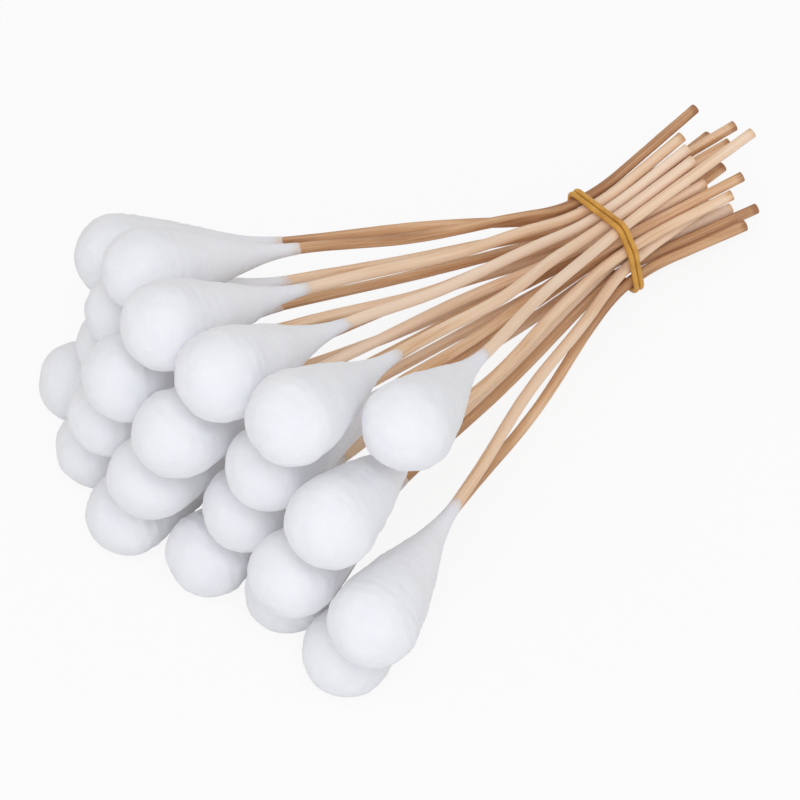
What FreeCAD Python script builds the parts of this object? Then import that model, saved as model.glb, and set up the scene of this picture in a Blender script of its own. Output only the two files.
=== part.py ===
# A bundle of large cotton swabs on wooden sticks, held by one rubber band wound twice.
# Sizes are in millimetres and degrees. The heads point toward -X and lie on the table,
# the bare ends point toward +X, and the band is near the bare ends.

import FreeCAD, Part
import math
import os

import Sketcher

V = FreeCAD.Vector

os.makedirs("parts", exist_ok=True)
doc = FreeCAD.newDocument("swab_bundle")


# Driving sizes, each with a name and what it measures

SIZES = (
    ("swab_length", 152.4, "cotton end to bare end, along the swab"),
    ("stick_diameter", 2.35, "wooden stick"),
    ("head_diameter", 17.4, "round end of the cotton"),
    ("cotton_length", 44.0, "cotton end to the last fibres on the stick"),
    ("taper_angle", 14.5, "slope of the cotton between the round end and the neck"),
    ("neck_wall", 0.15, "cotton around the stick where the neck ends"),
    ("cotton_cover", 6.5, "cotton beyond the stick's buried end"),
    ("wrap_gap", 0.04, "between the stick and the cotton wound on it"),
    ("tail_length", 31.7, "bend in the stick to its bare end, on average"),
    ("slide_range", 8.0, "how far a swab sits ahead of or behind the average"),
    ("bend_radius", 36.0, "stick where the band bends it"),
    ("heading", -2.2, "turn of the whole fan of heads toward -Y"),
    ("head_gap", 0.5, "least space between two heads"),
    ("layer_room", 1.0, "more space between two layers of heads than nesting needs"),
    ("stick_gap", 0.35, "between neighbours of one layer at the band"),
    ("layer_gap", 0.8, "between layers at the band"),
    ("strand_diameter", 1.2, "one turn of the rubber band"),
    ("strand_gap", 0.15, "between the band's two turns"),
    ("band_gap", 0.2, "between the band and the sticks"),
)

# Layers of swabs from the table up. The heads nest like stacked balls: first is the place of
# a layer's first swab, in steps from the middle of the bottom layer toward -Y. lean moves the
# layer's sticks at the band, in steps too, and its heads stay. tail_swing turns the bare ends
# toward +Y, tail_fan spreads them and tail_lift raises them. A slide is a share of
# slide_range, one for each swab of the layer, from +Y to -Y.

LAYERS = (
    {
        "first": -2.0,
        "lean": 0.0,
        "tail_swing": -8.0,
        "tail_fan": 0.9,
        "tail_lift": 0.0,
        "slides": (0.3, 0.6, 1.0, 0.2, -0.3, 0.4),
    },
    {
        "first": -1.5,
        "lean": -0.7,
        "tail_swing": 3.0,
        "tail_fan": 0.6,
        "tail_lift": 4.5,
        "slides": (-0.7, 0.5, 0.8, -0.2, 0.7, 1.0),
    },
    {
        "first": -2.0,
        "lean": -0.8,
        "tail_swing": -11.0,
        "tail_fan": 1.2,
        "tail_lift": 9.0,
        "slides": (-1.0, -0.5, 0.7, 0.9, 0.1, 0.8),
    },
    {
        "first": -0.5,
        "lean": -2.2,
        "tail_swing": 2.0,
        "tail_fan": 1.6,
        "tail_lift": 10.5,
        "slides": (-0.3, 0.6, 0.8, 1.0, -0.6),
    },
)


sizes = doc.addObject("Spreadsheet::Sheet", "Sizes")
for row, (name, value, note) in enumerate(SIZES, start=1):
    sizes.set(f"A{row}", name)
    sizes.set(f"B{row}", str(value))
    sizes.setAlias(f"B{row}", name)
    sizes.set(f"C{row}", note)
doc.recompute()


def size(name):
    return float(getattr(sizes, name))


# Layout: where each swab's bend lies, and which way its head and its tail point

head_radius = size("head_diameter") / 2
stick_radius = size("stick_diameter") / 2
stick_pitch = size("stick_diameter") + size("stick_gap")
layer_pitch = size("stick_diameter") + size("layer_gap")
strand_pitch = size("strand_diameter") + size("strand_gap")
band_offset = stick_radius + size("band_gap") + size("strand_diameter") / 2
waist_height = band_offset + strand_pitch + size("strand_diameter") / 2

head_pitch = size("head_diameter") + size("head_gap")
head_reach = size("swab_length") - head_radius - size("tail_length")
shortest_reach = head_reach - size("slide_range")
stick_length = size("swab_length") - size("cotton_cover")
buried_length = head_radius - size("cotton_cover")

first_lift = math.asin((head_radius - waist_height) / shortest_reach)
nest_rise = head_pitch * math.sqrt(3) / 2
lift_step = (nest_rise + size("layer_room") - layer_pitch) / shortest_reach
lifts = [first_lift + number * lift_step for number in range(len(LAYERS))]


def reach(slide):
    return head_reach + slide * size("slide_range")


def room_beside(ahead):
    """What two neighbours' axes need between them when one head is this far ahead."""
    slope = math.radians(size("taper_angle"))
    if ahead < head_radius * math.sin(slope):
        return head_pitch
    return head_radius + (head_radius - ahead * math.sin(slope)) / math.cos(slope) + size("head_gap")


def turn_needed(layer, lift):
    """The turn from one swab to the next that keeps all of a layer's heads apart."""
    turns = []
    for one, other in zip(layer["slides"], layer["slides"][1:]):
        nearer = min(reach(one), reach(other))
        room = room_beside(abs(reach(one) - reach(other)))
        turns.append((room - stick_pitch) / (nearer * math.cos(lift)))
    return max(turns)


turn_step = max(turn_needed(layer, lift) for layer, lift in zip(LAYERS, lifts))


def direction(forward, turn, lift):
    """A unit vector along X, turned about Z and then lifted."""
    level = math.cos(lift)
    return V(forward * level * math.cos(turn), forward * level * math.sin(turn), math.sin(lift))


class Swab:
    """One swab's place: its bend, the two directions that leave it, and its lengths."""

    def __init__(self, layer_number, layer, position, slide):
        place = layer["first"] + position
        aside = layer["lean"] * stick_pitch
        turn = math.radians(size("heading")) + place * turn_step - aside / head_reach
        swing = math.radians(layer["tail_swing"] - place * layer["tail_fan"])
        tail_lift = math.radians(layer["tail_lift"])
        self.bend = V(
            0,
            -place * stick_pitch - aside,
            waist_height + layer_number * layer_pitch,
        )
        self.head_way = direction(-1, turn, lifts[layer_number])
        self.tail_way = direction(1, swing, tail_lift)
        self.reach = reach(slide)
        self.turn = (-self.head_way).getAngle(self.tail_way)
        self.tangent = size("bend_radius") * math.tan(self.turn / 2)
        straight = self.reach + buried_length - self.tangent
        self.tail = stick_length - straight - size("bend_radius") * self.turn

    def placement(self):
        """The bend at the origin, the stick's buried part along -X, the tail turned toward +Y."""
        across = -self.head_way
        turned = FreeCAD.Rotation(across, self.tail_way, V(), "XYZ")
        return FreeCAD.Placement(self.bend, turned)

    def waist(self, x):
        """The stick's centre where it passes the plane at x, close to the middle of its bend."""
        inward = (self.head_way + self.tail_way).normalize()
        along = (self.tail_way - self.head_way).normalize()
        middle = self.bend + inward * (size("bend_radius") * (1 / math.cos(self.turn / 2) - 1))
        return middle + along * ((x - middle.x) / along.x)


swabs = []
for number, layer in enumerate(LAYERS):
    for position, slide in enumerate(layer["slides"]):
        swabs.append(Swab(number, layer, position, slide))

layout = doc.addObject("Spreadsheet::Sheet", "Layout")
for row, swab in enumerate(swabs, start=1):
    values = (("reach", swab.reach), ("turn", math.degrees(swab.turn)), ("tail", swab.tail))
    for column, (name, value) in zip("ABC", values):
        layout.set(f"{column}{row}", repr(value))
        layout.setAlias(f"{column}{row}", f"{name}_{row:02d}")
doc.recompute()


def origin_plane(body, role):
    return next(plane for plane in body.Origin.OriginFeatures if plane.Role == role)


def flat_sketch(body, name, role):
    sketch = body.newObject("Sketcher::SketchObject", name)
    sketch.AttachmentSupport = (origin_plane(body, role), "")
    sketch.MapMode = "FlatFace"
    return sketch


def bind(sketch, constraint, name, formula):
    """Add a driving constraint with a name and tie it to the sheet."""
    index = sketch.addConstraint(constraint)
    sketch.renameConstraint(index, name)
    sketch.setExpression(f"Constraints.{name}", formula)


AXIS = -1
START = 1
END = 2


# Wooden stick: a round rod, straight from the head to its bend and straight again to its cut end

def make_stick(number, swab):
    body = doc.addObject("PartDesign::Body", f"Stick{number:02d}")
    body.Label = f"stick_{number:02d}"

    radius = size("bend_radius")
    back = swab.reach + buried_length
    centre = V(-swab.tangent, radius, 0)
    bend_end = centre + V(math.sin(swab.turn), -math.cos(swab.turn), 0) * radius
    tail_end = bend_end + V(math.cos(swab.turn), math.sin(swab.turn), 0) * swab.tail

    path = flat_sketch(body, f"Path{number:02d}", "XY_Plane")
    shank = path.addGeometry(Part.LineSegment(V(-back, 0, 0), V(-swab.tangent, 0, 0)))
    circle = Part.Circle(centre, V(0, 0, 1), radius)
    start_angle = -math.pi / 2
    bend = path.addGeometry(Part.ArcOfCircle(circle, start_angle, start_angle + swab.turn))
    tail = path.addGeometry(Part.LineSegment(bend_end, tail_end))
    path.addConstraint(Sketcher.Constraint("PointOnObject", shank, START, AXIS))
    path.addConstraint(Sketcher.Constraint("Horizontal", shank))
    path.addConstraint(Sketcher.Constraint("Tangent", shank, END, bend, START))
    path.addConstraint(Sketcher.Constraint("Tangent", bend, END, tail, START))
    path.addConstraint(Sketcher.Constraint("PointOnObject", AXIS, START, tail))
    bind(
        path,
        Sketcher.Constraint("DistanceX", shank, START, AXIS, START, back),
        "back",
        f"Layout.reach_{number:02d} + Sizes.head_diameter / 2 - Sizes.cotton_cover",
    )
    bind(path, Sketcher.Constraint("Radius", bend, radius), "bend", "Sizes.bend_radius")
    bind(
        path,
        Sketcher.Constraint("Angle", AXIS, START, tail, START, swab.turn),
        "turn",
        f"Layout.turn_{number:02d}",
    )
    bind(path, Sketcher.Constraint("Distance", tail, swab.tail), "tail", f"Layout.tail_{number:02d}")

    section = flat_sketch(body, f"Section{number:02d}", "YZ_Plane")
    section.setExpression(
        "AttachmentOffset.Base.z",
        f"-(Layout.reach_{number:02d} + Sizes.head_diameter / 2 - Sizes.cotton_cover)",
    )
    round_rod = section.addGeometry(Part.Circle(V(0, 0, 0), V(0, 0, 1), stick_radius))
    section.addConstraint(Sketcher.Constraint("Coincident", round_rod, 3, AXIS, START))
    bind(
        section,
        Sketcher.Constraint("Diameter", round_rod, size("stick_diameter")),
        "rod",
        "Sizes.stick_diameter",
    )

    rod = body.newObject("PartDesign::AdditivePipe", f"Rod{number:02d}")
    rod.Profile = section
    rod.Spine = (path, ["Edge1", "Edge2", "Edge3"])
    body.Placement = swab.placement()
    return body


# Cotton head: a round end that tapers to a long thin neck, with a blind bore where it is
# wound on the stick. Its own origin is the centre of the round end, and its neck is along +X.

def make_head(number, swab):
    body = doc.addObject("PartDesign::Body", f"Head{number:02d}")
    body.Label = f"cotton_tip_{number:02d}"

    slope = math.radians(size("taper_angle"))
    bore = stick_radius + size("wrap_gap")
    neck_radius = bore + size("neck_wall")
    neck_end = size("cotton_length") - head_radius
    drop = neck_end * math.sin(slope) + neck_radius * math.cos(slope) - head_radius
    flare = drop / (1 - math.cos(slope))
    ball_end = V(math.sin(slope), math.cos(slope), 0) * head_radius
    flare_centre = V(neck_end, neck_radius + flare, 0)
    flare_start = flare_centre - V(math.sin(slope), math.cos(slope), 0) * flare

    outline = flat_sketch(body, f"Outline{number:02d}", "XY_Plane")
    ball_circle = Part.Circle(V(0, 0, 0), V(0, 0, 1), head_radius)
    flare_circle = Part.Circle(flare_centre, V(0, 0, 1), flare)
    down = -math.pi / 2
    pieces = (
        Part.ArcOfCircle(ball_circle, math.pi / 2 - slope, math.pi),
        Part.LineSegment(ball_end, flare_start),
        Part.ArcOfCircle(flare_circle, down - slope, down),
        Part.LineSegment(V(neck_end, neck_radius, 0), V(neck_end, bore, 0)),
        Part.LineSegment(V(neck_end, bore, 0), V(-buried_length, bore, 0)),
        Part.LineSegment(V(-buried_length, bore, 0), V(-buried_length, 0, 0)),
        Part.LineSegment(V(-buried_length, 0, 0), V(-head_radius, 0, 0)),
    )
    ball, taper, neck, rim, wall, floor, middle = outline.addGeometry(list(pieces))
    rules = (
        ("Coincident", ball, 3, AXIS, START),
        ("Tangent", ball, START, taper, START),
        ("Tangent", taper, END, neck, START),
        ("Coincident", neck, END, rim, START),
        ("Coincident", rim, END, wall, START),
        ("Coincident", wall, END, floor, START),
        ("Coincident", floor, END, middle, START),
        ("Coincident", middle, END, ball, END),
        ("Vertical", rim),
        ("Horizontal", wall),
        ("Vertical", floor),
        ("Horizontal", middle),
        ("PointOnObject", floor, END, AXIS),
        ("Vertical", neck, END, neck, 3),
    )
    for rule in rules:
        outline.addConstraint(Sketcher.Constraint(*rule))
    bind(outline, Sketcher.Constraint("Radius", ball, head_radius), "ball", "Sizes.head_diameter / 2")
    bind(
        outline,
        Sketcher.Constraint("DistanceX", ball, END, rim, START, size("cotton_length")),
        "length",
        "Sizes.cotton_length",
    )
    bind(
        outline,
        Sketcher.Constraint("DistanceX", ball, END, floor, END, size("cotton_cover")),
        "cover",
        "Sizes.cotton_cover",
    )
    bind(
        outline,
        Sketcher.Constraint("DistanceY", AXIS, START, wall, START, bore),
        "bore",
        "Sizes.stick_diameter / 2 + Sizes.wrap_gap",
    )
    bind(
        outline,
        Sketcher.Constraint("DistanceY", rim, END, rim, START, size("neck_wall")),
        "rim",
        "Sizes.neck_wall",
    )
    bind(
        outline,
        Sketcher.Constraint("Angle", taper, START, AXIS, START, slope),
        "slope",
        "Sizes.taper_angle",
    )

    wound = body.newObject("PartDesign::Revolution", f"Wound{number:02d}")
    wound.Profile = outline
    wound.ReferenceAxis = (outline, ["H_Axis"])
    wound.Angle = 360
    body.Placement = swab.placement() * FreeCAD.Placement(V(-swab.reach, 0, 0), FreeCAD.Rotation())
    return body


# Rubber band: two turns side by side around the outermost sticks. Under the bundle each
# turn moves over to the other's lane, and the second one dips below the first.

def turning(a, b, c):
    return (b[0] - a[0]) * (c[1] - a[1]) - (b[1] - a[1]) * (c[0] - a[0])


def chain(points):
    kept = []
    for point in points:
        while len(kept) > 1 and turning(kept[-2], kept[-1], point) <= 0:
            kept.pop()
        kept.append(point)
    return kept[:-1]


def around(points):
    """The outermost points, counter-clockwise."""
    ordered = sorted(points)
    return chain(ordered) + chain(ordered[::-1])


def outward(a, b):
    length = math.dist(a, b)
    return ((b[1] - a[1]) / length, (a[0] - b[0]) / length)


def unit(vector):
    return vector * (1 / vector.Length)


def line(start, end):
    return [Part.LineSegment(start, end)]


def side_step(start, end, along):
    """Two equal arcs that leave start along one direction and reach end along the same."""
    ahead = (end - start).dot(along)
    aside = end - start - along * ahead
    radius = (ahead**2 + aside.Length**2) / (4 * aside.Length)
    half = math.asin(ahead / 2 / radius) / 2
    step = along * (radius * math.sin(half)) + unit(aside) * (radius * (1 - math.cos(half)))
    middle = (start + end) * 0.5
    return [Part.Arc(start, start + step, middle), Part.Arc(middle, end - step, end)]


def once_around(corners, x):
    """Straight runs and round corners in one lane, from the last corner's side to the first's."""
    pieces = []
    last = None
    for before, corner, after in zip(corners[-1:] + corners, corners, corners[1:] + corners[:1]):
        ways = [V(0, *outward(before, corner)), V(0, *outward(corner, after))]
        ways.insert(1, unit(ways[0] + ways[1]))
        start, middle, end = (V(x, *corner) + way * band_offset for way in ways)
        if last is not None:
            pieces += line(last, start)
        pieces.append(Part.Arc(start, middle, end))
        last = end
    return pieces


def band_corners():
    """Corners of the bundle where the band passes, from the +Y end of the bottom layer."""
    half_width = (strand_pitch + size("strand_diameter")) / 2
    passed = [(swab, swab.waist(x)) for swab in swabs for x in (-half_width, half_width)]
    floor = min(point.z for swab, point in passed)
    bottom = swabs[: len(LAYERS[0]["slides"])]
    points = [(point.y, floor if swab in bottom else point.z) for swab, point in passed]
    corners = around(points)
    first = corners.index(max(corner for corner in corners if corner[1] == floor))
    return corners[first:] + corners[:first]


def make_band():
    lane = strand_pitch / 2
    corners = band_corners()
    first_turn = once_around(corners, -lane)
    second_turn = once_around(corners, lane)

    along = V(0, 1, 0)
    down = V(0, 0, -strand_pitch)
    left = V(0, corners[-1][0], corners[-1][1] - band_offset)
    span = along * (corners[0][0] - corners[-1][0])

    def under(share, x):
        return left + span * share + V(x, 0, 0)

    first_under = line(under(0, -lane), under(1 / 4, -lane))
    first_under += side_step(under(1 / 4, -lane), under(3 / 4, lane), along)
    first_under += line(under(3 / 4, lane), under(1, lane))

    second_under = side_step(under(0, lane), under(1 / 5, lane) + down, along)
    second_under += line(under(1 / 5, lane) + down, under(1 / 4, lane) + down)
    second_under += side_step(under(1 / 4, lane) + down, under(3 / 4, -lane) + down, along)
    second_under += line(under(3 / 4, -lane) + down, under(4 / 5, -lane) + down)
    second_under += side_step(under(4 / 5, -lane) + down, under(1, -lane), along)

    pieces = first_turn + first_under + second_turn + second_under
    path = Part.Wire([piece.toShape() for piece in pieces])
    strand = Part.Wire(Part.Circle(under(1, -lane), along, size("strand_diameter") / 2).toShape())

    band = doc.addObject("Part::Feature", "Band")
    band.Label = "rubber_band"
    band.Shape = path.makePipeShell([strand], True, False)
    return band


# The whole bundle, moved so that the origin is under the middle of it, on the table

def check_sound(pieces):
    for item in doc.Objects:
        faults = {"Invalid", "Error"} & set(item.State)
        if faults:
            raise RuntimeError(f"{item.Label} failed: {faults}")
    for piece in pieces:
        if piece.Shape.isNull() or not piece.Shape.isValid():
            raise RuntimeError(f"{piece.Label} has no sound shape")


bundle = [make_band()]
for number, swab in enumerate(swabs, start=1):
    bundle.append(make_stick(number, swab))
    bundle.append(make_head(number, swab))
doc.recompute()
check_sound(bundle)

extent = FreeCAD.BoundBox()
for piece in bundle:
    extent.add(piece.Shape.optimalBoundingBox())
to_origin = FreeCAD.Placement(V(-extent.Center.x, -extent.Center.y, -extent.ZMin), FreeCAD.Rotation())
for piece in bundle:
    piece.Placement = to_origin * piece.Placement
doc.recompute()
check_sound(bundle)

for piece in bundle:
    piece.Shape.exportStep(f"parts/{piece.Label}.step")
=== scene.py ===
import math
import random

import bpy
import numpy as np
from mathutils import Matrix, Vector


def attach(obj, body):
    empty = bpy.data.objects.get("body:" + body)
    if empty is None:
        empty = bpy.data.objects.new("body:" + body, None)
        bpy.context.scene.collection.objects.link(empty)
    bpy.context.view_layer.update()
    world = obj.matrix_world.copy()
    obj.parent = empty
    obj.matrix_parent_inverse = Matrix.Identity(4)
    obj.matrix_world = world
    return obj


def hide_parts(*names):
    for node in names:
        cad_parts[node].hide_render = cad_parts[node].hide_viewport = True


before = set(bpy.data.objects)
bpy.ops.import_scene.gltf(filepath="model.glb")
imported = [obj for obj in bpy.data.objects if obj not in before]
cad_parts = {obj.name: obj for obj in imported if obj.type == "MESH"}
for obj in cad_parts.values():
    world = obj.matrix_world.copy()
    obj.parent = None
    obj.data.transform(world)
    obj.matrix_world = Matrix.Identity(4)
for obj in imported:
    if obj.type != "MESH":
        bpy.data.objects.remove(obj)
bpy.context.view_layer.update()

random.seed(24)


# Wooden sticks. Each is a thin birch rod, sanded round and cut square, which the rubber
# band holds bent. One straight rod is modelled, and each copy is laid along its CAD stick,
# whose two cut ends say where the stick starts, bends and stops.

STICK_LENGTH = 0.1459
STICK_RADIUS = 0.001175
STICK_SIDES = 16
CUTS_ALONG = 79
RIM_ROUNDING = 0.00011
STICK_IN_COTTON = 0.0375
BAND_START = 0.104
BEND_RADIUS = 0.036
BEND_STEPS = 40

FULL_TURN = 2 * math.pi
WAVE_START = (0, 6)
TWIST = (-9, 9)
OVALNESS = (0.02, 0.05)
KNOBBLINESS = (0.01, 0.03)
STICK_BOW = 0.0019
BOW_SHARE = (0.4, 1)
SWAY_SHARE = (-0.25, 0.25)
WAVINESS_SIZE = 0.004
WAVINESS_HEIGHT = 0.00009
GRAIN_SHIFT = (-0.5, 0.5)
CUT_DEPTH = 0.0009
# Painted shade: the first sticks, in the lowest layers, get browner wood and the top ones paler,
# standing in for the shade the upper layers cast on those beneath.
LOWEST_STICK_PAINTED_SHADE = 0.11
PAINTED_SHADE_RANGE = 0.17

SAME_PLACE = 1e-6
SAME_DIGITS = 7
SMOOTH_BELOW = math.radians(50)

stick_names = sorted(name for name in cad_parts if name.startswith("stick_"))


def choose_edges(piece, test):
    """Go into edit mode with only the edges selected that pass the test."""
    bpy.ops.object.mode_set(mode="EDIT")
    bpy.ops.mesh.select_mode(type="EDGE")
    bpy.ops.mesh.select_all(action="DESELECT")
    bpy.ops.object.mode_set(mode="OBJECT")
    for edge in piece.data.edges:
        edge.select = test(edge)
    bpy.ops.object.mode_set(mode="EDIT")


def copy_of(piece, name):
    copy = bpy.data.objects.new(name, piece.data.copy())
    bpy.context.collection.objects.link(copy)
    return copy


def apply_modifiers(piece):
    bpy.ops.object.select_all(action="DESELECT")
    piece.select_set(True)
    bpy.context.view_layer.objects.active = piece
    for modifier in list(piece.modifiers):
        bpy.ops.object.modifier_apply(modifier=modifier.name)


def keep_places(piece, name, places):
    """Store a vector for each point of the mesh, for the material to read."""
    attribute = piece.data.attributes.new(name, "FLOAT_VECTOR", "POINT")
    attribute.data.foreach_set("vector", np.ravel(places).astype(np.float32))


def keep_amounts(piece, name, amounts):
    """Store a number for each point of the mesh, for the material to read."""
    attribute = piece.data.attributes.new(name, "FLOAT", "POINT")
    attribute.data.foreach_set("value", amounts.astype(np.float32))


def points_of(mesh):
    places = np.empty(3 * len(mesh.vertices))
    mesh.vertices.foreach_get("co", places)
    return places.reshape(-1, 3)


bpy.ops.object.select_all(action="DESELECT")
bpy.ops.mesh.primitive_cylinder_add(
    vertices=STICK_SIDES,
    radius=STICK_RADIUS,
    depth=STICK_LENGTH,
    location=(STICK_LENGTH / 2, 0, 0),
    rotation=(0, FULL_TURN / 4, 0),
)
straight_rod = bpy.context.object
bpy.ops.object.transform_apply(location=True, rotation=True, scale=True)


def runs_lengthwise(edge):
    one, other = (straight_rod.data.vertices[index].co for index in edge.vertices)
    return abs(one.x - other.x) > STICK_LENGTH / 2


def is_cut_rim(edge):
    one, other = (straight_rod.data.vertices[index].co for index in edge.vertices)
    at_end = min(one.x, STICK_LENGTH - one.x) < SAME_PLACE
    return at_end and abs(one.x - other.x) < SAME_PLACE


choose_edges(straight_rod, runs_lengthwise)
bpy.ops.mesh.subdivide(number_cuts=CUTS_ALONG)
bpy.ops.object.mode_set(mode="OBJECT")
choose_edges(straight_rod, is_cut_rim)
bpy.ops.mesh.bevel(offset=RIM_ROUNDING, segments=2, affect="EDGES")
bpy.ops.object.mode_set(mode="OBJECT")

waviness = bpy.data.textures.new("waviness", "CLOUDS")
waviness.noise_scale = WAVINESS_SIZE


def whittle(places):
    """Make a rod's section a little uneven, twist it, and bow the rod between head and band."""
    along = places[:, 0]
    around = np.arctan2(places[:, 2], places[:, 1]) + along * random.uniform(*TWIST)
    oval = random.uniform(*OVALNESS)
    knobbly = random.uniform(*KNOBBLINESS)
    uneven = oval * np.cos(2 * around + random.uniform(*WAVE_START)) + knobbly * np.cos(3 * around)
    places[:, 1:] *= (1 + uneven)[:, None]
    free = np.clip((along - STICK_IN_COTTON) / (BAND_START - STICK_IN_COTTON), 0, 1)
    bow = random.uniform(*BOW_SHARE) * STICK_BOW
    sway = random.uniform(*SWAY_SHARE) * STICK_BOW
    turn = random.uniform(0, FULL_TURN)
    hump = np.sin(math.pi * free)
    offset = bow * hump**2 + sway * np.sin(FULL_TURN * free) * hump
    return places + np.outer(offset, (0, math.cos(turn), math.sin(turn)))


def cut_end(corners, far):
    """Centre of a stick's round end, and the way it faces."""
    just_over_diameter = 2.1 * STICK_RADIUS
    tip = corners[np.argmax(corners @ far)]
    ring = corners[np.linalg.norm(corners - tip, axis=1) < just_over_diameter]
    centre = ring.mean(axis=0)
    way = np.linalg.svd(ring - centre)[2][2]
    if way @ far < 0:
        way = -way
    return Vector(centre), Vector(way)


def bent_path(start, way_in, end, way_out):
    """Curve through a stick's middle: straight, round the bend, and straight again."""
    across = end - start
    slant = way_in.dot(way_out)
    ahead = (across.dot(way_in) - across.dot(way_out) * slant) / (1 - slant**2)
    corner = start + way_in * ahead
    turn = way_in.angle(way_out)
    tangent = BEND_RADIUS * math.tan(turn / 2)
    handle = BEND_RADIUS * math.tan(turn / 4) * 4 / 3
    bend_start = corner - way_in * tangent
    bend_end = corner + way_out * tangent
    points = (
        (start, start, start.lerp(bend_start, 1 / 3)),
        (bend_start, start.lerp(bend_start, 2 / 3), bend_start + way_in * handle),
        (bend_end, bend_end - way_out * handle, bend_end.lerp(end, 1 / 3)),
        (end, bend_end.lerp(end, 2 / 3), end),
    )
    line = bpy.data.curves.new("path", "CURVE")
    line.dimensions = "3D"
    line.resolution_u = BEND_STEPS
    spline = line.splines.new("BEZIER")
    spline.bezier_points.add(len(points) - 1)
    for point, (place, left, right) in zip(spline.bezier_points, points):
        point.handle_left_type = point.handle_right_type = "FREE"
        point.co = place
        point.handle_left = left
        point.handle_right = right
    path = bpy.data.objects.new("path", line)
    bpy.context.collection.objects.link(path)
    return path


stick_starts = {}
sticks = []
for number, name in enumerate(stick_names):
    corners = np.unique(points_of(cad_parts[name].data).round(SAME_DIGITS), axis=0)
    start, facing = cut_end(corners, np.array((-1.0, 0, 0)))
    end, way_out = cut_end(corners, np.array((1.0, 0, 0)))
    stick_starts[name] = (start, -facing)

    stick = copy_of(straight_rod, name.replace("stick", "wooden_stick"))
    shift = [random.uniform(*GRAIN_SHIFT) for axis in range(3)]
    places = points_of(stick.data)
    cut = np.clip((places[:, 0] - STICK_LENGTH) / CUT_DEPTH + 1, 0, 1)
    # Painted shade: a browner tone for sticks in the lower layers, standing in for the shade from
    # the sticks above.
    brown = LOWEST_STICK_PAINTED_SHADE - PAINTED_SHADE_RANGE * number / len(stick_names)
    keep_places(stick, "grain", places + shift)
    keep_amounts(stick, "cut", cut)
    keep_amounts(stick, "brown", np.full(len(places), brown))
    stick.data.vertices.foreach_set("co", np.ravel(whittle(places)))
    path = bent_path(start, -facing, end, way_out)
    bend = stick.modifiers.new("bend", "CURVE")
    bend.object = path
    bend.deform_axis = "POS_X"
    rough = stick.modifiers.new("rough", "DISPLACE")
    rough.texture = waviness
    rough.texture_coords = "LOCAL"
    rough.strength = WAVINESS_HEIGHT
    apply_modifiers(stick)
    bpy.ops.object.shade_smooth_by_angle(angle=SMOOTH_BELOW)
    bpy.data.objects.remove(path)
    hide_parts(name)
    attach(stick, "root")
    sticks.append(stick)
bpy.data.objects.remove(straight_rod)


class Wire:
    """An output of a material's nodes. Python's signs on it add Math nodes."""

    def __init__(self, tree, socket=None):
        self.tree = tree
        self.socket = socket

    def node(self, kind, settings, values, output=0):
        """Add a node, set it up, and give its sockets numbers or wires."""
        node = self.tree.nodes.new(kind)
        for name, value in settings.items():
            if name == "stops":
                ramp = node.color_ramp
                while len(ramp.elements) < len(value):
                    ramp.elements.new(1)
                for element, (place, colour) in zip(ramp.elements, value):
                    element.position = place
                    element.color = (*colour, 1)
            else:
                setattr(node, name, value)
        for name, value in values.items():
            if isinstance(value, Wire):
                self.tree.links.new(value.socket, node.inputs[name])
            else:
                node.inputs[name].default_value = value
        return Wire(self.tree, node.outputs[output])

    def math(self, operation, first, second):
        return self.node("ShaderNodeMath", {"operation": operation}, {0: first, 1: second})

    def kept(self, name, output):
        """What a piece keeps for each point: its Fac is a number, its Vector a place."""
        return self.node("ShaderNodeAttribute", {"attribute_name": name}, {}, output)

    def stretched(self, along, across):
        """The vector scaled by one number along X and another across it."""
        values = {0: self, 1: (along, across, across)}
        return self.node("ShaderNodeVectorMath", {"operation": "MULTIPLY"}, values)

    def noise(self, scale, detail, roughness=0.5):
        settings = {"noise_dimensions": "3D"}
        values = {"Vector": self, "Scale": scale, "Detail": detail, "Roughness": roughness}
        return self.node("ShaderNodeTexNoise", settings, values)

    def ramp(self, *stops):
        return self.node("ShaderNodeValToRGB", {"stops": stops}, {"Fac": self})

    def bump(self, strength, distance):
        values = {"Strength": strength, "Distance": distance, "Height": self}
        return self.node("ShaderNodeBump", {}, values, "Normal")

    def __add__(self, other):
        return self.math("ADD", self, other)

    def __radd__(self, other):
        return self.math("ADD", other, self)

    def __sub__(self, other):
        return self.math("SUBTRACT", self, other)

    def __rsub__(self, other):
        return self.math("SUBTRACT", other, self)

    def __mul__(self, other):
        return self.math("MULTIPLY", self, other)

    def __rmul__(self, other):
        return self.math("MULTIPLY", other, self)


def new_material(name, **sockets):
    """A material with its shader's own values, a wire to build from, and the shader."""
    material = bpy.data.materials.new(name)
    material.use_nodes = True
    tree = material.node_tree
    shader = tree.nodes["Principled BSDF"]
    for socket, value in sockets.items():
        shader.inputs[socket.replace("_", " ")].default_value = value
    return material, Wire(tree), shader


def feed(shader, **wires):
    for socket, wire in wires.items():
        wire.tree.links.new(wire.socket, shader.inputs[socket.replace("_", " ")])


PALE_BIRCH = (0.93, 0.72, 0.545)
BIRCH = (0.87, 0.615, 0.41)
BROWN_BIRCH = (0.71, 0.425, 0.225)
DARK_BIRCH = (0.38, 0.17, 0.07)
BIRCH_PALENESS = 1.085

birch, wires, shader = new_material("birch", Specular_IOR_Level=0.6)
grain = wires.kept("grain", "Vector")
tone = grain.noise(scale=2.2, detail=1)
streaks = grain.stretched(along=30, across=1500).noise(scale=1, detail=4, roughness=0.6)
fibres = grain.stretched(along=140, across=5200).noise(scale=1, detail=3, roughness=0.6)
patches = grain.stretched(along=28, across=160).noise(scale=1, detail=2)
cut = wires.kept("cut", "Fac")
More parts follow.
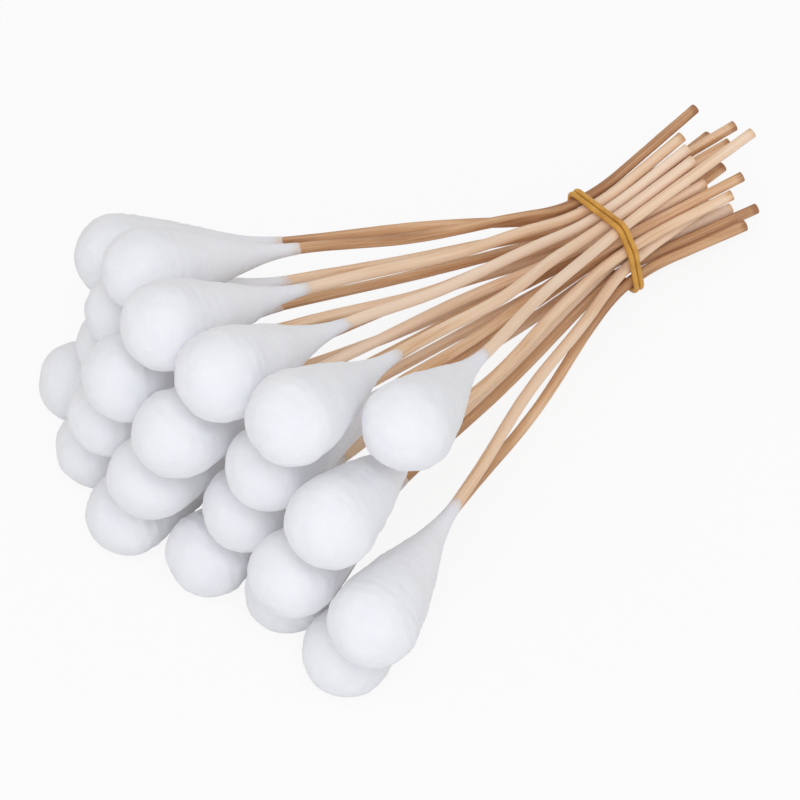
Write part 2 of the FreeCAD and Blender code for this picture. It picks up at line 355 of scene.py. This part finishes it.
# Painted shade for the lower sticks, read from each stick, darkens the wood's colour.
brown = wires.kept("brown", "Fac")
figure = tone * 1.35 + streaks * 0.7 + fibres * 0.3 + patches * 0.75
shade = figure + cut * 0.3 + brown - BIRCH_PALENESS
colour = shade.ramp(
    (0.2, PALE_BIRCH),
    (0.45, BIRCH),
    (0.62, BROWN_BIRCH),
    (0.9, DARK_BIRCH),
)
relief = streaks * 0.5 + fibres * 0.5
bump = relief.bump(strength=0.5, distance=0.00012)
feed(shader, Base_Color=colour, Roughness=fibres * 0.3 + 0.45, Normal=bump)
for stick in sticks:
    stick.data.materials.append(birch)


# Cotton heads. Cotton fibre is wound on the stick into a round end, and thins out over a
# long neck until the last fibres lie on the wood. One head is modelled along the X axis
# from its neck to its tip, and each copy goes on its stick, turned and shaped a little.

HEAD_RADIUS = 0.0087
HEAD_SIDES = 24
NECK_RIM = 0.0366
STICK_PAST_CENTRE = 0.0022

BLUNTNESS = (0.94, 1.03)
FULLNESS = (0.985, 1.015)
FLUFF_SHIFT = (0, 0.5)
THIN_FROM = 0.016
THIN_OVER = 0.02
TAPER_END = 0.03
LEAST_THICKNESS = 0.12

RIDGE_PITCH = 0.0023
RIDGE_FADE = 0.013
RIDGE_HEIGHT = 0.00004
RIDGES_MIDDLE = 0.012
RIDGES_REACH = 0.010
LUMP_SIZE = 0.0065
LUMP_HEIGHT = 0.0009
TUFT_SIZE = 0.0016
TUFT_HEIGHT = 0.0002
NEAR_ZERO = 1e-9

# Each ring's place along X, from the middle of the round end, and its radius.
head_rings = (
    (0.0367, 0.00118),
    (0.0350, 0.00126),
    (0.0320, 0.00142),
    (0.0285, 0.00184),
    (0.0250, 0.00254),
    (0.0215, 0.00352),
    (0.0180, 0.00458),
    (0.0145, 0.00561),
    (0.0110, 0.00658),
    (0.0075, 0.00744),
    (0.0045, 0.00808),
    (0.0020, 0.00854),
    (0.0, 0.00874),
    (-0.0023, 0.00848),
    (-0.0045, 0.00752),
    (-0.0064, 0.00602),
    (-0.0078, 0.00405),
    (-0.0086, 0.00185),
    (-0.00877, 0.0002),
)

place, ring = head_rings[0]
bpy.ops.object.select_all(action="DESELECT")
bpy.ops.mesh.primitive_circle_add(
    vertices=HEAD_SIDES,
    radius=ring,
    location=(place, 0, 0),
    rotation=(0, FULL_TURN / 4, 0),
)
plain_head = bpy.context.object
bpy.ops.object.transform_apply(location=True, rotation=True, scale=True)
bpy.ops.object.mode_set(mode="EDIT")
bpy.ops.mesh.select_all(action="SELECT")
for next_place, next_ring in head_rings[1:]:
    step = {"value": (next_place - place, 0, 0)}
    bpy.ops.mesh.extrude_region_move(TRANSFORM_OT_translate=step)
    grow = next_ring / ring
    bpy.ops.transform.resize(value=(1, grow, grow), center_override=(next_place, 0, 0))
    place, ring = next_place, next_ring
bpy.ops.mesh.merge(type="CENTER")
bpy.ops.object.mode_set(mode="OBJECT")


def is_neck_rim(edge):
    return all(plain_head.data.vertices[index].co.x > NECK_RIM for index in edge.vertices)


choose_edges(plain_head, is_neck_rim)
bpy.ops.mesh.edge_face_add()
bpy.ops.mesh.select_all(action="SELECT")
bpy.ops.mesh.normals_make_consistent(inside=False)
bpy.ops.object.mode_set(mode="OBJECT")
rounding = plain_head.modifiers.new("rounding", "SUBSURF")
rounding.levels = rounding.render_levels = 2
apply_modifiers(plain_head)

lumps = bpy.data.textures.new("lumps", "CLOUDS")
lumps.noise_scale = LUMP_SIZE
tufts = bpy.data.textures.new("tufts", "CLOUDS")
tufts.noise_scale = TUFT_SIZE


def wound_places(places):
    """Each point's way along the surface from the tip, and its place around the stick."""
    along, beside = places[:, 0], np.hypot(places[:, 1], places[:, 2])
    from_tip = HEAD_RADIUS * np.arctan2(beside, -along)
    turned = places[:, 1:] / np.maximum(beside, NEAR_ZERO)[:, None]
    return np.column_stack((from_tip + np.maximum(along, 0), turned))


def wound_ridges(places):
    """Shallow ridges where one turn of cotton lies beside the next."""
    along, around = places[:, 0], np.arctan2(places[:, 2], places[:, 1])
    turns = np.sin(along / RIDGE_PITCH * FULL_TURN + around + random.uniform(*WAVE_START))
    fade = np.sin(along / RIDGE_FADE * FULL_TURN + random.uniform(*WAVE_START)) + 1
    shown = np.clip(2 - np.abs(along - RIDGES_MIDDLE) / RIDGES_REACH, 0, 1)
    beside = np.maximum(np.hypot(places[:, 1], places[:, 2]), HEAD_RADIUS / 3)
    return 1 + RIDGE_HEIGHT * turns * fade * shown / beside


heads = []
for name in stick_names:
    start, way = stick_starts[name]
    head_name = name.replace("stick", "cotton_tip")
    head = copy_of(plain_head, name.replace("stick", "cotton_head"))
    places = points_of(head.data)
    blunt = random.uniform(*BLUNTNESS)
    full = random.uniform(*FULLNESS)
    shift = random.uniform(*FLUFF_SHIFT)
    keep_places(head, "wound", wound_places(places) + (shift, 0, 0))
    keep_places(head, "fluff", places + shift)
    keep_amounts(head, "thin", np.clip((places[:, 0] - THIN_FROM) / THIN_OVER, 0, 1))
    places[:, 0] *= np.where(places[:, 0] < 0, blunt, 1)
    swell = 1 + (full - 1) * np.clip(1 - places[:, 0] / TAPER_END, 0, 1)
    places[:, 1:] *= swell[:, None]
    places[:, 1:] *= wound_ridges(places)[:, None]
    thickness = head.vertex_groups.new(name="thickness")
    for index, along in enumerate(places[:, 0]):
        thick = min(1, max(LEAST_THICKNESS, (TAPER_END - along) / THIN_OVER))
        thickness.add([index], thick, "REPLACE")
    head.data.vertices.foreach_set("co", np.ravel(places))
    centre = Matrix.Translation(start + way * STICK_PAST_CENTRE)
    lean = way.to_track_quat("X", "Z").to_matrix().to_4x4()
    roll = Matrix.Rotation(random.uniform(0, FULL_TURN), 4, "X")
    head.data.transform(centre @ lean @ roll)
    for texture, strength in ((lumps, LUMP_HEIGHT), (tufts, TUFT_HEIGHT)):
        push = head.modifiers.new("push", "DISPLACE")
        push.texture = texture
        push.texture_coords = "LOCAL"
        push.strength = strength
        push.vertex_group = thickness.name
    apply_modifiers(head)
    bpy.ops.object.shade_smooth()
    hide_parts(head_name)
    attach(head, "root")
    heads.append(head)
bpy.data.objects.remove(plain_head)

SHADED_COTTON = (0.80, 0.785, 0.81)
COTTON = (0.855, 0.86, 0.90)
PALE_COTTON = (0.875, 0.88, 0.905)
WHITE_COTTON = (0.90, 0.905, 0.92)
WOOD_UNDER_COTTON = (0.78, 0.60, 0.44, 1)
BARE_FROM = 0.86
BARE_SHARE = 0.75

# A Mix node has sockets for each kind of data, and these are the ones for colours.
MIX_FACTOR = 0
MIX_FIRST = 6
MIX_SECOND = 7
MIX_COLOUR = 2

cotton, wires, shader = new_material(
    "cotton",
    Roughness=0.95,
    Specular_IOR_Level=0.2,
    Subsurface_Weight=0.25,
    Subsurface_Radius=(0.002, 0.002, 0.0022),
    Subsurface_Scale=1,
    Sheen_Weight=0.25,
    Sheen_Roughness=0.5,
)
wound = wires.kept("wound", "Vector")
fluff = wires.kept("fluff", "Vector")
turns = wound.stretched(along=2200, across=3).noise(scale=1, detail=3, roughness=0.6)
strands = wound.stretched(along=5200, across=9).noise(scale=1, detail=2, roughness=0.6)
felt = fluff.noise(scale=2600, detail=4, roughness=0.65)
layers = wound.stretched(along=700, across=2).noise(scale=1, detail=2)
height = layers * 0.9 + turns * 0.5 + strands * 0.35 + felt * 0.5
thin = wires.kept("thin", "Fac")
tint = fluff.noise(scale=160, detail=2) * 0.8 + layers * 0.2
lightness = tint * 0.5 + turns * 0.2 + felt * 0.2 + 0.2 - thin * thin * 0.3
plain = lightness.ramp(
    (0.1, SHADED_COTTON),
    (0.5, COTTON),
    (0.62, PALE_COTTON),
    (0.85, WHITE_COTTON),
)
bare = (thin - BARE_FROM) * 7 + (turns - 0.5) * 2.4 + (strands - 0.5) * 1.6
bare = wires.node("ShaderNodeClamp", {}, {"Value": bare})
colour = wires.node(
    "ShaderNodeMix",
    {"data_type": "RGBA"},
    {MIX_FACTOR: bare * BARE_SHARE, MIX_FIRST: plain, MIX_SECOND: WOOD_UNDER_COTTON},
    MIX_COLOUR,
)
feed(shader, Base_Color=colour, Normal=height.bump(strength=0.4, distance=0.00026))
for head in heads:
    head.data.materials.append(cotton)


# Rubber band. One amber band goes twice round the sticks, in two turns side by side that
# change places under them. Its CAD solid has that shape, and gets the rubber's finish.

DARK_AMBER = (0.50, 0.235, 0.030)
AMBER = (0.66, 0.345, 0.055)
PALE_AMBER = (0.77, 0.45, 0.10)

amber_rubber, wires, shader = new_material(
    "amber_rubber",
    Specular_IOR_Level=0.45,
    Subsurface_Weight=0.2,
    Subsurface_Radius=(0.002, 0.001, 0.0004),
    Subsurface_Scale=0.6,
)
spot = wires.node("ShaderNodeTexCoord", {}, {}, "Object")
cloudy = spot.noise(scale=240, detail=3, roughness=0.6)
speckle = spot.noise(scale=2600, detail=3, roughness=0.6)
colour = (cloudy * 0.7 + speckle * 0.3).ramp(
    (0.3, DARK_AMBER),
    (0.5, AMBER),
    (0.7, PALE_AMBER),
)
bump = speckle.bump(strength=0.3, distance=0.00006)
feed(shader, Base_Color=colour, Roughness=cloudy * 0.25 + 0.33, Normal=bump)
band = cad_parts["rubber_band"]
band.data.materials.clear()
band.data.materials.append(amber_rubber)


# The table, the light and the camera. The floor is plain and white, and glows a little
# where the camera or a glossy surface sees it, so it looks white and keeps the shadow.

FLOOR_SIZE = 6
FLOOR_DEPTH = 0.0002
FLOOR_GREY = (0.82, 0.82, 0.82, 1)
FLOOR_GLOW = 0.88
WHITE = (1, 1, 1, 1)
ROOM_COLOUR = (1, 0.99, 0.98, 1)
ROOM_LIGHT = 0.66
ROOM_SEEN_EXTRA = 0.34
LAMP_COLOUR = (0.89, 0.92, 1)

CAMERA_LENS = 122
CAMERA_SENSOR = 36
CAMERA_PLACE = (-0.199036, -0.324731, 0.424366)
CAMERA_SIGHT = (0.327689, 0.584933, -0.741939)
CAMERA_TOP = (0.505, 0.561, 0.656)


def seen_plainly(wires):
    """One for what the camera or a glossy surface sees, zero for light that spreads."""
    camera_ray = wires.node("ShaderNodeLightPath", {}, {}, "Is Camera Ray")
    glossy_ray = wires.node("ShaderNodeLightPath", {}, {}, "Is Glossy Ray")
    return wires.math("MAXIMUM", camera_ray, glossy_ray)


bpy.ops.object.select_all(action="DESELECT")
bpy.ops.mesh.primitive_plane_add(size=FLOOR_SIZE, location=(0, 0, -FLOOR_DEPTH))
floor = bpy.context.object
floor.name = "floor"

paper, wires, shader = new_material("paper", Base_Color=FLOOR_GREY, Roughness=0.9)
glow = wires.node("ShaderNodeEmission", {}, {"Color": WHITE, "Strength": 1})
matt = Wire(wires.tree, shader.outputs[0])
share = seen_plainly(wires) * FLOOR_GLOW
mix = wires.node("ShaderNodeMixShader", {}, {0: share, 1: matt, 2: glow})
wires.tree.links.new(mix.socket, wires.tree.nodes["Material Output"].inputs["Surface"])
floor.data.materials.append(paper)

room = bpy.data.worlds.new("room")
bpy.context.scene.world = room
room.use_nodes = True
sky = room.node_tree.nodes["Background"]
sky.inputs["Color"].default_value = ROOM_COLOUR
wires = Wire(room.node_tree)
strength = seen_plainly(wires) * ROOM_SEEN_EXTRA + ROOM_LIGHT
room.node_tree.links.new(strength.socket, sky.inputs["Strength"])


def soft_light(name, place, size, power):
    """A round lamp that faces the bundle."""
    data = bpy.data.lights.new(name, "AREA")
    data.color = LAMP_COLOUR
    data.shape = "DISK"
    data.size = size
    data.energy = power
    light = bpy.data.objects.new(name, data)
    bpy.context.collection.objects.link(light)
    light.location = place
    light.rotation_euler = (-Vector(place)).to_track_quat("-Z", "Y").to_euler()


soft_light("key", place=(-0.18, -0.42, 0.66), size=0.3, power=1.55)
soft_light("fill", place=(-0.5, -0.4, 0.3), size=0.6, power=0.6)

view = bpy.data.cameras.new("camera")
view.lens = CAMERA_LENS
view.sensor_width = CAMERA_SENSOR
camera = bpy.data.objects.new("camera", view)
bpy.context.collection.objects.link(camera)
sight = Vector(CAMERA_SIGHT)
right = sight.cross(Vector(CAMERA_TOP)).normalized()
camera.matrix_world = Matrix((right, right.cross(sight), -sight)).transposed().to_4x4()
camera.location = CAMERA_PLACE
bpy.context.scene.camera = camera
bpy.context.scene.view_settings.view_transform = "Standard"
